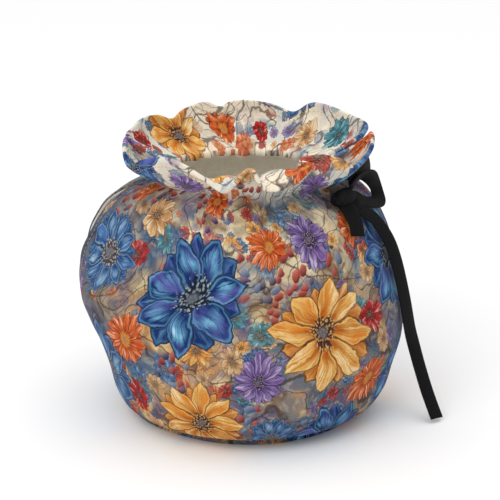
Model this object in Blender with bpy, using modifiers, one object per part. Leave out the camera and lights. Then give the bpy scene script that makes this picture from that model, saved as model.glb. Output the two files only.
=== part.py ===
"""A gathered tea cosy of printed cloth with a black ribbon tied at its neck.

The cosy is a hollow cover. It stands on its hem, bulges where a pot's spout leaves it, is drawn in
by a ribbon above the shoulder, and opens out over the lid in a frilled collar. Two panels, front
and back, are sewn together at the sides, with a slot for the handle and a mouth for the spout.

Units are metres, +Z is up, +X points to the handle side and +Y to the back.
"""

import math
from collections import namedtuple

import bmesh
import bpy
import numpy as np
from mathutils import Vector

MM = 0.001

# ---------------------------------------------------------------- sizes of the cloth

CLOTH_THICKNESS = 2.2 * MM
SEAM_SHARE = 0.0015  # the share of a panel's width that each seam edge stands back
NECK_SHARE = 0.006  # and how much more of it where the neck is drawn in
PANEL_COLUMNS = 60
BODY_ROWS = 16
COLLAR_ROWS = 9
HEM_BAND = 4.0  # mm, the turned hem stands upright

GATHER_RADIUS = 60.0  # mm
GATHER_HEIGHT = 157.0
GATHER_FOLDS = 26
GATHER_DEPTH = 2.4
GATHER_FADE = 34.0  # mm down the body over which the gathers die away

SPOUT_SPREAD = math.radians(60.0)  # half angle over which the cloth bulges round the spout

# How the cloth hangs round the pot, in mm: height, round radius, and the bulge at the spout.
Level = namedtuple("Level", "height radius bulge")
BODY_LEVELS = (
    Level(0.0, 71.0, 6.6),
    Level(HEM_BAND, 71.0, 6.6),
    Level(9.0, 80.5, 1.5),
    Level(20.0, 89.0, -1.9),
    Level(35.0, 94.0, -2.6),
    Level(52.0, 99.7, -1.7),
    Level(65.0, 100.5, 4.0),
    Level(80.0, 99.5, 10.0),
    Level(100.0, 96.5, 13.6),
    Level(115.0, 92.8, 17.0),
    Level(128.0, 88.0, 14.5),
    Level(138.0, 83.0, 11.0),
    Level(146.0, 76.5, 6.5),
    Level(152.0, 69.0, 2.0),
    Level(GATHER_HEIGHT, GATHER_RADIUS, 0.0),
)

# The pot axis stands off the middle of the cover, because the spout side reaches further out.
AXIS_X = 4.6 * MM

# The slits left in the side seams, in mm: where the middle is, half its height, half its width.
Mouth = namedtuple("Mouth", "middle half_height half_width")
HANDLE_SLOT = Mouth(middle=110.0, half_height=38.0, half_width=9.0)
SPOUT_MOUTH = Mouth(middle=118.0, half_height=32.0, half_width=20.0)

# The collar's rim, fold by fold round the neck from the handle seam: azimuth in degrees, radius and
# height in mm, and how far the cloth between neck and rim bows upwards (or outwards, if negative).
Fold = namedtuple("Fold", "azimuth radius height bow")
BACK_FOLDS = (
    Fold(-13.7, 52.0, 172.0, 4.0),  # handle seam, tucked in
    Fold(2.0, 68.0, 180.0, -2.0),
    Fold(15.0, 80.0, 185.0, -6.0),
    Fold(33.0, 82.5, 185.6, -8.0),
    Fold(53.0, 82.0, 189.6, -8.0),
    Fold(60.0, 80.0, 188.4, -7.0),
    Fold(66.5, 75.5, 183.0, -4.0),
    Fold(77.7, 80.0, 186.4, -7.0),
    Fold(91.5, 81.0, 188.7, -7.0),
    Fold(100.3, 80.0, 187.7, -7.0),
    Fold(105.0, 76.5, 185.6, -5.0),
    Fold(112.0, 80.5, 188.8, -7.0),
    Fold(124.0, 80.5, 185.2, -7.0),
    Fold(133.5, 75.5, 181.4, -4.0),
    Fold(140.0, 79.5, 184.6, -6.0),
    Fold(150.0, 81.5, 184.8, -7.0),
    Fold(161.0, 81.0, 181.8, -5.0),
    Fold(170.0, 76.0, 178.5, -2.0),
    Fold(184.0, 62.0, 173.0, 2.0),
)
FRONT_FOLDS = (
    Fold(194.0, 54.0, 170.5, 4.0),  # spout seam, tucked in
    Fold(186.0, 66.0, 176.5, 0.0),
    Fold(179.0, 79.5, 181.0, -5.0),
    Fold(190.0, 81.0, 178.0, -6.0),
    Fold(205.0, 83.0, 170.8, -4.0),
    Fold(220.0, 84.0, 179.0, -8.0),
    Fold(231.0, 84.0, 183.2, -9.0),
    Fold(240.0, 84.0, 182.2, -8.0),
    Fold(250.4, 84.0, 173.8, 4.0),
    Fold(259.3, 81.0, 164.6, 20.0),
    Fold(265.0, 78.0, 170.0, 14.0),
    Fold(271.0, 74.0, 178.0, 2.0),
    Fold(275.6, 84.0, 168.0, 18.0),
    Fold(284.0, 88.0, 168.4, 24.0),
    Fold(291.5, 87.5, 174.5, 18.0),
    Fold(297.0, 84.0, 181.6, 4.0),
    Fold(296.0, 73.0, 182.6, 0.0),
    Fold(303.0, 78.5, 185.0, -6.0),
    Fold(312.0, 83.5, 181.6, -8.0),
    Fold(320.0, 84.0, 174.8, -5.0),
    Fold(334.0, 81.0, 177.0, -6.0),
    Fold(350.0, 80.0, 180.0, -7.0),
    Fold(363.0, 81.0, 183.0, -6.0),
    Fold(358.0, 68.0, 178.0, -1.0),
)

# ---------------------------------------------------------------- sizes of the ribbon

RIBBON_WIDTH = 10.0 * MM
RIBBON_THICKNESS = 1.0 * MM
RIBBON_PINCH = 0.4  # the share of its width that the ribbon loses where a knot grips it
PINCH_REACH = 7.0 * MM
KNOT_SIZE = (18.0, 8.5, 10.0)  # mm, along the neck, out from it, and up
KNOT_PLACE = (57.8, -47.9, 153.8)  # mm from the pot axis at the floor

# A ribbon's route away from the knot: x, y and z in mm from the pot axis at the floor, and the way
# that its face looks, as an azimuth and a rise in degrees.
Step = namedtuple("Step", "x y z azimuth rise")
BOW_ROUTE = (
    Step(62.2, -43.0, 160.0, 325.0, -25.0),
    Step(65.2, -36.8, 162.6, 328.0, -38.0),
    Step(69.0, -29.2, 163.6, 331.0, -45.0),
    Step(73.0, -21.8, 162.4, 333.0, -46.0),
    Step(76.8, -15.2, 158.6, 330.0, -32.0),
    Step(79.4, -10.4, 153.4, 320.0, -10.0),
    Step(81.0, -8.8, 148.4, 308.0, 14.0),
    Step(82.2, -11.8, 144.4, 312.0, 48.0),
    Step(80.8, -18.0, 143.4, 324.0, 56.0),
    Step(77.2, -25.0, 144.6, 328.0, 54.0),
    Step(72.6, -31.2, 147.0, 328.0, 50.0),
    Step(67.8, -36.0, 150.5, 324.0, 46.0),
)
SHORT_TAIL_ROUTE = (
    Step(59.4, -49.0, 148.8, 300.0, 46.0),
    Step(62.4, -53.0, 144.6, 300.0, 42.0),
    Step(64.8, -57.0, 139.4, 303.0, 33.0),
    Step(66.0, -60.8, 133.0, 306.0, 27.0),
)
LONG_TAIL_ROUTE = (
    Step(63.8, -44.9, 149.6, 314.0, 50.0),
    Step(71.2, -43.2, 143.2, 313.0, 44.0),
    Step(76.8, -40.8, 139.0, 312.0, 37.0),
    Step(80.8, -39.6, 133.8, 312.0, 31.0),
    Step(84.7, -38.6, 128.0, 312.0, 26.0),
    Step(88.1, -37.6, 121.2, 312.0, 21.0),
    Step(91.4, -36.4, 111.8, 312.0, 15.0),
    Step(94.4, -35.0, 101.0, 313.0, 10.0),
    Step(97.2, -33.4, 89.0, 313.0, 6.0),
    Step(99.6, -31.2, 78.0, 313.0, 3.0),
    Step(101.6, -28.0, 67.6, 312.0, 0.0),
    Step(103.7, -24.2, 58.0, 311.0, 0.0),
    Step(106.8, -21.0, 46.6, 310.0, 2.0),
    Step(111.0, -21.4, 32.0, 309.0, 5.0),
    Step(115.8, -26.2, 17.0, 306.0, 12.0),
    Step(121.4, -35.4, 2.6, 305.0, 18.0),
)


# ---------------------------------------------------------------- curves through the tables


def through(before, rows, after, steps=12):
    """Points on a smooth line through the rows, shaped at its ends by the rows before and after."""
    table = np.array([before, *rows, after], float)
    line = []
    for index in range(1, len(table) - 2):
        p0, p1, p2, p3 = table[index - 1 : index + 3]
        for t in np.arange(steps) / steps:
            cubic = 2 * p1 + (p2 - p0) * t
            cubic += (2 * p0 - 5 * p1 + 4 * p2 - p3) * t**2
            cubic += (3 * p1 - p0 - 3 * p2 + p3) * t**3
            line.append(cubic / 2)
    line.append(table[-2])
    return np.array(line)


def even(line, places, shares):
    """The line's rows at these shares of its length, which is measured along the places."""
    lengths = np.linalg.norm(np.diff(places, axis=0), axis=1)
    travelled = np.concatenate([[0.0], np.cumsum(lengths)])
    wanted = np.array(shares) * travelled[-1]
    return np.array([np.interp(wanted, travelled, column) for column in line.T]).T


def turned(azimuth, radius, height):
    """A place in metres from cylinder coordinates in radians and mm about the pot axis."""
    x = AXIS_X + radius * MM * math.cos(azimuth)
    return Vector((x, radius * MM * math.sin(azimuth), height * MM))


# ---------------------------------------------------------------- the cloth's shape


def body_levels():
    """Levels at even steps up the body, from the hem to the gather."""
    foot = Level(-HEM_BAND, *BODY_LEVELS[0][1:])
    line = through(foot, BODY_LEVELS, BODY_LEVELS[-1])
    shares = np.linspace(0.0, 1.0, BODY_ROWS - 1)
    levels = [Level(*row) for row in even(line, line[:, :2], shares)]
    levels[0] = BODY_LEVELS[0]
    return [levels[0], BODY_LEVELS[1], *levels[1:]]


def seam_setback(mouth, height):
    """How far in mm the cloth stands back from a side seam at this height."""
    away = (height - mouth.middle) / mouth.half_height
    return mouth.half_width * math.cos(math.pi / 2 * away) if abs(away) < 1 else 0.0


def eased(share, strength):
    """A share of a panel's width, drawn in from the seams where the neck folds its edges."""
    return 0.5 + (share - 0.5) * (1 - 2 * NECK_SHARE * strength)


def gather(azimuth, strength):
    """How far in mm the gathering folds draw the cloth in."""
    wave = math.cos(GATHER_FOLDS * azimuth + 1.1 * math.sin(3 * azimuth) + 0.7 * math.sin(7 * azimuth))
    return GATHER_DEPTH * strength * (0.5 - 0.5 * wave)


def body_point(panel, share, level):
    """The outer face of a panel at this share of its width and this level."""
    first, last = (HANDLE_SLOT, SPOUT_MOUTH) if panel == "back" else (SPOUT_MOUTH, HANDLE_SLOT)
    start = seam_setback(first, level.height) / level.radius
    end = math.pi - seam_setback(last, level.height) / level.radius
    rise = max(0.0, 1 - (GATHER_HEIGHT - level.height) / GATHER_FADE)
    azimuth = start + (end - start) * eased(share, rise**2) + (0.0 if panel == "back" else math.pi)
    from_spout = abs(azimuth - math.pi) / SPOUT_SPREAD
    bulge = level.bulge * math.cos(math.pi / 2 * from_spout) ** 2 if from_spout < 1 else 0.0
    return turned(azimuth, level.radius + bulge - gather(azimuth, rise**2), level.height)


def rim_rows(panel, shares):
    """The collar's rim at these shares of the panel's width, measured along the rim."""
    ahead = [fold._replace(azimuth=fold.azimuth + 360.0) for fold in BACK_FOLDS[:2]]
    behind = FRONT_FOLDS[-1]._replace(azimuth=FRONT_FOLDS[-1].azimuth - 360.0)
    if panel == "back":
        line = through(behind, [*BACK_FOLDS, FRONT_FOLDS[0]], FRONT_FOLDS[1])
    else:
        line = through(BACK_FOLDS[-1], [*FRONT_FOLDS, ahead[0]], ahead[1])
    places = [turned(math.radians(row[0]), row[1], row[2]) for row in line]
    return [Fold(*row) for row in even(line, np.array(places), shares)]


def collar_point(panel, share, rim, t):
    """The outer face of the collar: t runs from 0 at the gather to 1 at the rim."""
    azimuth = math.pi * (eased(share, (1 - t) ** 2) + (0.0 if panel == "back" else 1.0))
    foot = turned(azimuth, GATHER_RADIUS - gather(azimuth, (1 - t) ** 2), GATHER_HEIGHT)
    top = turned(math.radians(rim.azimuth), rim.radius, rim.height)
    chord = (top - foot).normalized()
    upwards = (Vector((0, 0, 1)) - chord * chord.z).normalized()
    bend = (foot + top) / 2 + upwards * rim.bow * MM
    return foot * (1 - t) ** 2 + bend * 2 * t * (1 - t) + top * t**2


# ---------------------------------------------------------------- making the objects


def fabric(name, colour, roughness):
    material = bpy.data.materials.new(name)
    material.use_nodes = True
    shader = material.node_tree.nodes["Principled BSDF"]
    shader.inputs["Base Color"].default_value = (*colour, 1.0)
    shader.inputs["Roughness"].default_value = roughness
    shader.inputs["Metallic"].default_value = 0.0
    return material


def sheet(name, columns, rows, place, thickness, offset, material, collection):
    """A cloth sheet: a grid whose points are placed by place(column, row), then given its thickness."""
    mesh = bpy.data.meshes.new(name)
    grid = bmesh.new()
    bmesh.ops.create_grid(grid, x_segments=columns, y_segments=rows, size=1.0)
    for vertex in grid.verts:
        column = round((vertex.co.x + 1) / 2 * columns)
        row = round((vertex.co.y + 1) / 2 * rows)
        vertex.co = place(column, row)
    grid.to_mesh(mesh)
    grid.free()
    mesh.shade_smooth()
    mesh.materials.append(material)
    cloth = bpy.data.objects.new(name, mesh)
    collection.objects.link(cloth)
    solid = cloth.modifiers.new("thickness", "SOLIDIFY")
    solid.thickness = thickness
    solid.offset = offset
    return cloth


def make_panel(panel, material, collection):
    shares = np.linspace(SEAM_SHARE, 1 - SEAM_SHARE, PANEL_COLUMNS + 1)
    levels = body_levels()
    rims = rim_rows(panel, shares)

    def place(column, row):
        if row < len(levels):
            return body_point(panel, shares[column], levels[row])
        t = (row - len(levels) + 1) / COLLAR_ROWS
        return collar_point(panel, shares[column], rims[column], t)

    rows = len(levels) - 1 + COLLAR_ROWS
    name = panel + "_panel"
    return sheet(name, PANEL_COLUMNS, rows, place, CLOTH_THICKNESS, -1.0, material, collection)


def make_ribbon(name, route, rings, material, collection):
    """A flat ribbon along its route, its face turned the way that each step says."""
    line = through(route[0], route, route[-1])
    line = even(line, line[:, :3], np.linspace(0.0, 1.0, rings + 1))
    centres = [Vector(((AXIS_X / MM + row[0]), row[1], row[2])) * MM for row in line]

    def place(column, row):
        run = centres[min(row + 1, rings)] - centres[max(row - 1, 0)]
        azimuth, rise = math.radians(line[row][3]), math.radians(line[row][4])
        out = Vector((math.cos(azimuth) * math.cos(rise), math.sin(azimuth) * math.cos(rise), math.sin(rise)))
        across = run.cross(out).normalized()
        gripped = math.exp(-(((centres[row] - centres[0]).length / PINCH_REACH) ** 2))
        width = RIBBON_WIDTH * (1 - RIBBON_PINCH * gripped)
        return centres[row] + across * width * (0.5 - column)

    return sheet(name, 1, rings, place, RIBBON_THICKNESS, 0.0, material, collection)


def make_knot(name, material, collection):
    """The knot, a rounded lump of tightly drawn ribbon, turned to lie along the neck."""
    mesh = bpy.data.meshes.new(name)
    ball = bmesh.new()
    bmesh.ops.create_uvsphere(ball, u_segments=16, v_segments=10, radius=0.5 * MM)
    bmesh.ops.scale(ball, vec=KNOT_SIZE, verts=ball.verts)
    ball.to_mesh(mesh)
    ball.free()
    mesh.shade_smooth()
    mesh.materials.append(material)
    knot = bpy.data.objects.new(name, mesh)
    x, y, z = KNOT_PLACE
    knot.location = (AXIS_X + x * MM, y * MM, z * MM)
    knot.rotation_euler.z = math.atan2(y, x) + math.pi / 2
    collection.objects.link(knot)
    return knot


def main():
    for leftover in list(bpy.data.objects):
        bpy.data.objects.remove(leftover)
    cosy = bpy.data.collections.new("tea cosy")
    bpy.context.scene.collection.children.link(cosy)
    printed = fabric("printed polyester", (0.62, 0.52, 0.38), 0.8)
    black = fabric("black ribbon", (0.008, 0.008, 0.009), 0.6)
    make_panel("back", printed, cosy)
    make_panel("front", printed, cosy)
    make_knot("ribbon_knot", black, cosy)
    make_ribbon("ribbon_bow", BOW_ROUTE, 26, black, cosy)
    make_ribbon("ribbon_tail_short", SHORT_TAIL_ROUTE, 7, black, cosy)
    make_ribbon("ribbon_tail_long", LONG_TAIL_ROUTE, 30, black, cosy)


main()
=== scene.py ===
# %% [markdown]
# # A gathered tea cosy
#
# A tea cosy keeps a teapot warm. This one is a hollow cover of printed cloth: two panels sewn together
# at the sides, a slot for the handle, a mouth for the spout, and a ribbon that draws in the neck so
# that the cloth above it opens out in a frilled collar. The lesson starts from a plain model of it that
# is already the right size, and makes each piece again with its folds, hems, stitches and print.

import math
from collections import namedtuple
from types import SimpleNamespace

import bpy
import numpy as np
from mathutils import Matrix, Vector


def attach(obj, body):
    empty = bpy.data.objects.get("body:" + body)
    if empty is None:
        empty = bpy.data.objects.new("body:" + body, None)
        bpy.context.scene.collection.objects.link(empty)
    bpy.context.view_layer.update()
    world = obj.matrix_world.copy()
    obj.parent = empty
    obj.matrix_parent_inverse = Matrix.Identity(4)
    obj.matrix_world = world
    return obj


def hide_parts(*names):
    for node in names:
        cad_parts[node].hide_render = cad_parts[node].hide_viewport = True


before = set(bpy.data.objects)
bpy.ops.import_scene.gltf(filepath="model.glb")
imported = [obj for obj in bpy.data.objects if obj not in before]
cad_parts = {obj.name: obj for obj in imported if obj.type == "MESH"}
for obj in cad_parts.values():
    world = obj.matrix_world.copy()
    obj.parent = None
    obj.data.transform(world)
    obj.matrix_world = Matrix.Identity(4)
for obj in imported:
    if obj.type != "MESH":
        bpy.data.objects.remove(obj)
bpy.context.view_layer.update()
MM = 0.001
AXIS_X = 4.6 * MM  # the pot's axis stands this far to the handle side of the cover's middle

# %% [markdown]
# ## The camera
#
# A camera is a lens length, a place and a direction. Here it stands a metre off and looks down by 17
# degrees, so that the open collar shows, and its lens is long, so that the cloth isn't distorted. The
# display transform is the plain one, because the softer film-like one greys pale studio pictures.

# %% Camera
CAMERA_DISTANCE = 1.0
CAMERA_DROP = math.radians(17.0)
VIEW_WIDTH = 0.325  # metres seen across the picture at the object
SENSOR = 36.0  # mm
AIM_ASIDE, AIM_HEIGHT = 0.65 * MM, 0.106  # from the pot's axis, and above the floor


def put(name, data):
    """A new object with this data, linked into the scene."""
    made = bpy.data.objects.new(name, data)
    bpy.context.scene.collection.objects.link(made)
    return made


camera_data = bpy.data.cameras.new("studio camera")
camera_data.sensor_width = SENSOR
camera_data.lens = SENSOR * CAMERA_DISTANCE / VIEW_WIDTH
camera = put("studio camera", camera_data)
aim = Vector((AXIS_X + AIM_ASIDE, 0.0, AIM_HEIGHT))
camera.location = aim + CAMERA_DISTANCE * Vector((0.0, -math.cos(CAMERA_DROP), math.sin(CAMERA_DROP)))
camera.rotation_euler = (math.radians(90.0) - CAMERA_DROP, 0.0, 0.0)
bpy.context.scene.camera = camera
bpy.context.scene.view_settings.view_transform = "Standard"
print("camera at", tuple(round(c, 3) for c in camera.location))

# %% [markdown]
# ## Helpers: colours and nodes
#
# Colours are written as the hex values that a screen uses. Light adds up in linear values, so one
# function turns the first into the second. A second function adds a node to any node tree: it sets the
# node's options, fills its sockets in order with values or with other nodes' outputs, and hands back
# its first output.
#
# Two kinds of node come up again and again. A Noise Texture takes its coordinates, scale, detail and
# roughness. A Map Range takes a value, the two levels to read it between, and the two values that
# those levels become.

# %% Colours and nodes
MATH, VECTOR, MIX = "ShaderNodeMath", "ShaderNodeVectorMath", "ShaderNodeMix"
NOISE, VORONOI = "ShaderNodeTexNoise", "ShaderNodeTexVoronoi"
RANGE, RAMP = "ShaderNodeMapRange", "ShaderNodeValToRGB"
SPLIT, JOIN = "ShaderNodeSeparateXYZ", "ShaderNodeCombineXYZ"


def linear(colour):
    """A hex colour as linear red, green, blue and alpha."""
    parts = [int(colour[i : i + 2], 16) / 255 for i in (1, 3, 5)]
    return (*[p / 12.92 if p <= 0.04045 else ((p + 0.055) / 1.055) ** 2.4 for p in parts], 1.0)


def add(tree, kind, *values, **settings):
    """Adds a node, fills its sockets in order (None leaves one alone), and returns its first output."""
    node = tree.nodes.new(kind)
    for name, value in settings.items():
        setattr(node, name, value)
    sockets = [socket for socket in node.inputs if socket.enabled]
    for socket, value in zip(sockets, values):
        if isinstance(value, bpy.types.NodeSocket):
            tree.links.new(value, socket)
        elif value is not None:
            socket.default_value = value
    return next((socket for socket in node.outputs if socket.enabled), None)


def material(name, roughness, **shader_values):
    """A new material with its tree, its Principled shader and the constant values on that shader."""
    made = bpy.data.materials.new(name)
    made.use_nodes = True
    shader = made.node_tree.nodes["Principled BSDF"]
    shader.inputs["Roughness"].default_value = roughness
    for socket, value in shader_values.items():
        shader.inputs[socket.replace("_", " ")].default_value = value
    return made, made.node_tree, shader


print("a middle grey, #808080, is", round(linear("#808080")[0], 3), "in linear light")

# %% [markdown]
# ## Helpers: smooth lines
#
# The shapes here start as short tables of places, such as the outline of the cover or the route of the
# ribbon. A smooth curve is drawn through each table, and is then walked in even steps, so that the
# faces made on it are all about as long.

# %% Smooth lines
def through(before, rows, after, steps=24):
    """Points on a smooth line through the rows, shaped at its ends by the rows before and after."""
    table = np.array([before, *rows, after], float)
    line = []
    for index in range(1, len(table) - 2):
        p0, p1, p2, p3 = table[index - 1 : index + 3]
        for t in np.arange(steps) / steps:
            cubic = 2 * p1 + (p2 - p0) * t
            cubic += (2 * p0 - 5 * p1 + 4 * p2 - p3) * t**2
            cubic += (3 * p1 - p0 - 3 * p2 + p3) * t**3
            line.append(cubic / 2)
    line.append(table[-2])
    return np.array(line)


def travelled(points):
    """The distance from the first point to each one, along a line or along every line of a grid."""
    steps = np.linalg.norm(np.diff(points, axis=0), axis=-1)
    return np.concatenate([np.zeros((1, *steps.shape[1:])), steps.cumsum(axis=0)])


def even(line, places, shares):
    """The line's rows at these shares of its length, which is measured along the places."""
    walked = travelled(places)
    wanted = np.asarray(shares) * walked[-1]
    return np.array([np.interp(wanted, walked, column) for column in line.T]).T


def smooth_step(value, low, high):
    """Rises softly from 0 to 1 while the value goes from low to high."""
    t = np.clip((value - low) / (high - low), 0.0, 1.0)
    return t * t * (3 - 2 * t)


print("a smooth step a quarter and half of the way up:", smooth_step(np.array([0.25, 0.5]), 0.0, 1.0))

# %% [markdown]
# ## Helpers: cloth shells
#
# Cloth and ribbon are both thin sheets, so one function makes them all. It takes the outer face as a
# grid of points, works out which way the sheet looks at each point, and sets the inner face a
# thickness behind it. The sheet thins to a rounded edge on all four sides, as folded cloth does. A
# Solidify modifier would give square edges, and this way the print can run over the edge too.

# %% Cloth shells
EDGE_FLAT = 0.12  # the share of the thickness that is left at the very edge


def unit(vectors):
    """The same directions, each one unit long; a vector of no length stays as it is."""
    lengths = np.linalg.norm(vectors, axis=-1, keepdims=True)
    return vectors / np.maximum(lengths, 1e-12)


def facing(points):
    """The unit normal of a grid of points at each of them."""
    return unit(np.cross(np.gradient(points, axis=1), np.gradient(points, axis=0)))


def edge_distance(points):
    """How far each grid point lies from the nearest edge of the sheet, measured on the sheet."""
    up, across = travelled(points), travelled(points.transpose(1, 0, 2)).T
    sides = np.minimum(across, across[:, -1:] - across)
    ends = np.minimum(up, up[-1:] - up)
    return np.minimum(sides, ends)


def smooth_piece(name, points, faces, corner_uv):
    """An object with smooth faces and a UV map, which holds a place for each corner of each face."""
    mesh = bpy.data.meshes.new(name)
    mesh.from_pydata(points.tolist(), [], faces)
    mesh.update()
    layer = mesh.uv_layers.new(name="cloth")
    layer.data.foreach_set("uv", corner_uv.astype(np.float32).ravel())
    mesh.shade_smooth()
    return put(name, mesh)


def shell(name, outer, thickness, outer_uv, inner_uv):
    """A closed sheet of this thickness behind its outer face, with rounded edges and a UV map.

    Also gives the middle of each face on the UV map, and the number of faces on the outer side."""
    rows, columns = outer.shape[:2]
    half = np.broadcast_to(np.asarray(thickness, float) / 2, (rows, columns))
    inward = 1 - np.clip(edge_distance(outer) / half, 0.0, 1.0)
    bevel = half * np.maximum(np.sqrt(1 - inward**2), EDGE_FLAT)
    normal = facing(outer)
    middle = outer - normal * half[..., None]
    faces_out, faces_in = middle + normal * bevel[..., None], middle - normal * bevel[..., None]
    points = np.concatenate([faces_out.reshape(-1, 3), faces_in.reshape(-1, 3)])

    number = np.arange(rows * columns).reshape(rows, columns)
    corners = (number[:-1, :-1], number[:-1, 1:], number[1:, 1:], number[1:, :-1])
    front = np.stack(corners, axis=-1).reshape(-1, 4)
    ring = np.concatenate([number[0, :-1], number[:-1, -1], number[-1, :0:-1], number[:0:-1, 0]])
    following = np.roll(ring, -1)
    back_start = number.size
    strip = np.stack([ring, ring + back_start, following + back_start, following], axis=-1)
    faces = np.concatenate([front, front[:, ::-1] + back_start, strip])

    # the strip round the edge takes its print from the outer face, so that no seam shows there
    uv = np.concatenate([outer_uv.reshape(-1, 2), inner_uv.reshape(-1, 2)])
    corner_uv = uv[faces]
    corner_uv[-len(strip) :] = uv[strip % back_start]
    print(f"{name}: {len(faces) * 2} triangles, {rows} by {columns} points")
    piece = smooth_piece(name, points, faces.tolist(), corner_uv)
    return piece, corner_uv.mean(axis=1), len(front)


print("a shell's edge is rounded down to", round(100 * EDGE_FLAT), "percent of its thickness")

# %% [markdown]
# ## The ribbon's routes
#
# The tie is one flat black ribbon, 10 mm wide and limp. It comes out of the cloth near the handle,
# where it is knotted. One end is short, one hangs to the foot of the cover, and a single loop arches
# up under the collar, turns over beside the handle and comes back to the knot. A second, smaller loop
# lies against the neck. Each route is a short table of the places that the ribbon passes, and of the
# way that its face looks there.

# %% Ribbon routes
# x, y and z in mm from the pot's axis, then the azimuth and the rise of the ribbon's face in degrees
BOW_ROUTE = (
    (61.4, -44.0, 158.6, 325, -25), (65.2, -36.8, 162.6, 328, -38), (69.0, -29.2, 163.6, 331, -45),
    (73.0, -21.8, 162.4, 333, -46), (76.8, -15.2, 158.6, 330, -32), (79.4, -10.4, 153.4, 320, -10),
    (81.0, -8.8, 148.4, 308, 14), (82.2, -11.8, 144.4, 312, 48), (80.8, -18.0, 143.4, 324, 56),
    (77.2, -25.0, 144.6, 328, 54), (72.6, -31.2, 147.0, 328, 50), (67.8, -36.0, 150.5, 324, 46),
    (64.4, -40.4, 152.6, 322, 46),
)
UPPER_LOOP_ROUTE = (
    (60.8, -42.0, 161.0, 318, -10), (65.2, -34.5, 164.2, 322, -10), (69.6, -25.0, 165.4, 326, 0),
    (72.6, -17.0, 165.4, 336, 5), (75.0, -9.5, 164.4, 346, 5), (76.0, -3.0, 163.4, 362, 5),
    (74.6, 2.6, 162.2, 392, 5), (71.0, 5.2, 161.0, 422, 5), (67.8, 6.4, 160.0, 434, 5),
    (64.8, 7.0, 159.2, 440, 5),
)
SHORT_TAIL_ROUTE = (
    (58.8, -48.4, 150.2, 300, 46), (62.4, -53.0, 144.6, 300, 42), (64.8, -57.0, 139.4, 303, 33),
    (66.0, -60.8, 133.0, 306, 27),
)
LONG_TAIL_ROUTE = (
    (62.4, -45.4, 150.4, 314, 50), (71.2, -43.2, 143.2, 313, 44), (76.8, -40.8, 139.0, 312, 37),
    (80.8, -39.6, 133.8, 312, 31), (84.7, -38.6, 128.0, 312, 26), (88.1, -37.6, 121.2, 312, 21),
    (91.4, -36.4, 111.8, 312, 15), (94.4, -35.0, 101.0, 313, 10), (97.2, -33.4, 89.0, 313, 6),
    (99.6, -31.2, 78.0, 313, 3), (101.6, -28.0, 67.6, 312, 0), (103.7, -24.2, 58.0, 311, 0),
    (106.8, -21.0, 46.6, 310, 2), (111.0, -21.4, 32.0, 309, 5), (115.8, -26.2, 17.0, 306, 12),
    (121.4, -35.4, 2.6, 305, 18),
)
print("the long tail's route has", len(LONG_TAIL_ROUTE), "points and the loop's", len(BOW_ROUTE))

# %% [markdown]
# ## The ribbon's pieces
#
# A ribbon can be a curve with a flat bevel, but a curve's own twist is hard to steer. So the strip is
# built across the direction in which it runs, with its face turned as the route says. Where the knot
# grips it, the ribbon is pinched and presses into three soft pleats, which open out along the tail.
# Its long edges curl back a little, as a limp ribbon's do.

# %% The ribbon's pieces
RIBBON_WIDTH = 10.0 * MM
RIBBON_THICKNESS = 0.9 * MM
RIBBON_CURL = 0.5 * MM  # how far the long edges curl back
PINCH_REACH = 7.0 * MM  # how far from the knot its grip narrows the ribbon
PLEATS, PLEAT_DEPTH = 3, 0.7 * MM  # where the knot grips the ribbon
EDGE_PLACES, FLAT_PLACE = np.array((0.5, 0.485, 0.46)), 0.42  # columns crowd at the edges, in widths
Ribbon = namedtuple("Ribbon", "piece line length")


def ribbon(name, route, rings, pinch, columns=8):
    """A flat ribbon along a route, with the line of its middle and its length in metres."""
    line = through(route[0], route, route[-1])
    line = even(line, line[:, :3], np.linspace(0.0, 1.0, rings + 1))
    centres = line[:, :3] * MM + (AXIS_X, 0.0, 0.0)
    run = np.gradient(centres, axis=0)
    azimuth, rise = np.radians(line[:, 3:]).T
    level = np.cos(rise)
    out = np.stack([np.cos(azimuth) * level, np.sin(azimuth) * level, np.sin(rise)], axis=1)
    across = unit(np.cross(run, out))
    out = unit(np.cross(across, run))

    from_knot = np.linalg.norm(centres - centres[0], axis=1, keepdims=True)
    gripped = np.exp(-((from_knot / PINCH_REACH) ** 2))
    flat = np.linspace(-FLAT_PLACE, FLAT_PLACE, columns - 1)
    places = np.concatenate([-EDGE_PLACES, flat, EDGE_PLACES[::-1]])
    aside = RIBBON_WIDTH * (1 - pinch * gripped) * -places
    lift = RIBBON_THICKNESS / 2 - RIBBON_CURL * (2 * places) ** 2
    lift = lift + PLEAT_DEPTH * gripped * np.cos(places * 2 * PLEATS * math.pi)
    grid = centres[:, None] + across[:, None] * aside[..., None] + out[:, None] * lift[..., None]

    along = travelled(centres)
    uv = np.stack(np.broadcast_arrays(places * RIBBON_WIDTH, along[:, None]), axis=-1)
    return Ribbon(shell(name, grid, RIBBON_THICKNESS, uv, uv)[0], centres, along[-1])


# the last number is the share of its width that a piece loses at the knot; the short tail spreads
long_tail = ribbon("ribbon_long_tail", LONG_TAIL_ROUTE, 110, 0.1)
short_tail = ribbon("ribbon_short_tail", SHORT_TAIL_ROUTE, 24, -0.1)
bow = ribbon("ribbon_loop", BOW_ROUTE, 90, 0.5)
upper_loop = ribbon("ribbon_upper_loop", UPPER_LOOP_ROUTE, 50, 0.3)
for made in (long_tail, short_tail, bow, upper_loop):
    print(f"{made.piece.name} is {made.length:.3f} m long")

# %% [markdown]
# ## The knot
#
# Where the ribbon is tied, it wraps over itself twice and is drawn tight. At this size the eye reads
# a soft lump with slanting folds. It could be a real strip wound twice, but the strip would cut
# through itself. A rounded form whose surface rises and falls in slanting bands looks the same.

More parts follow.
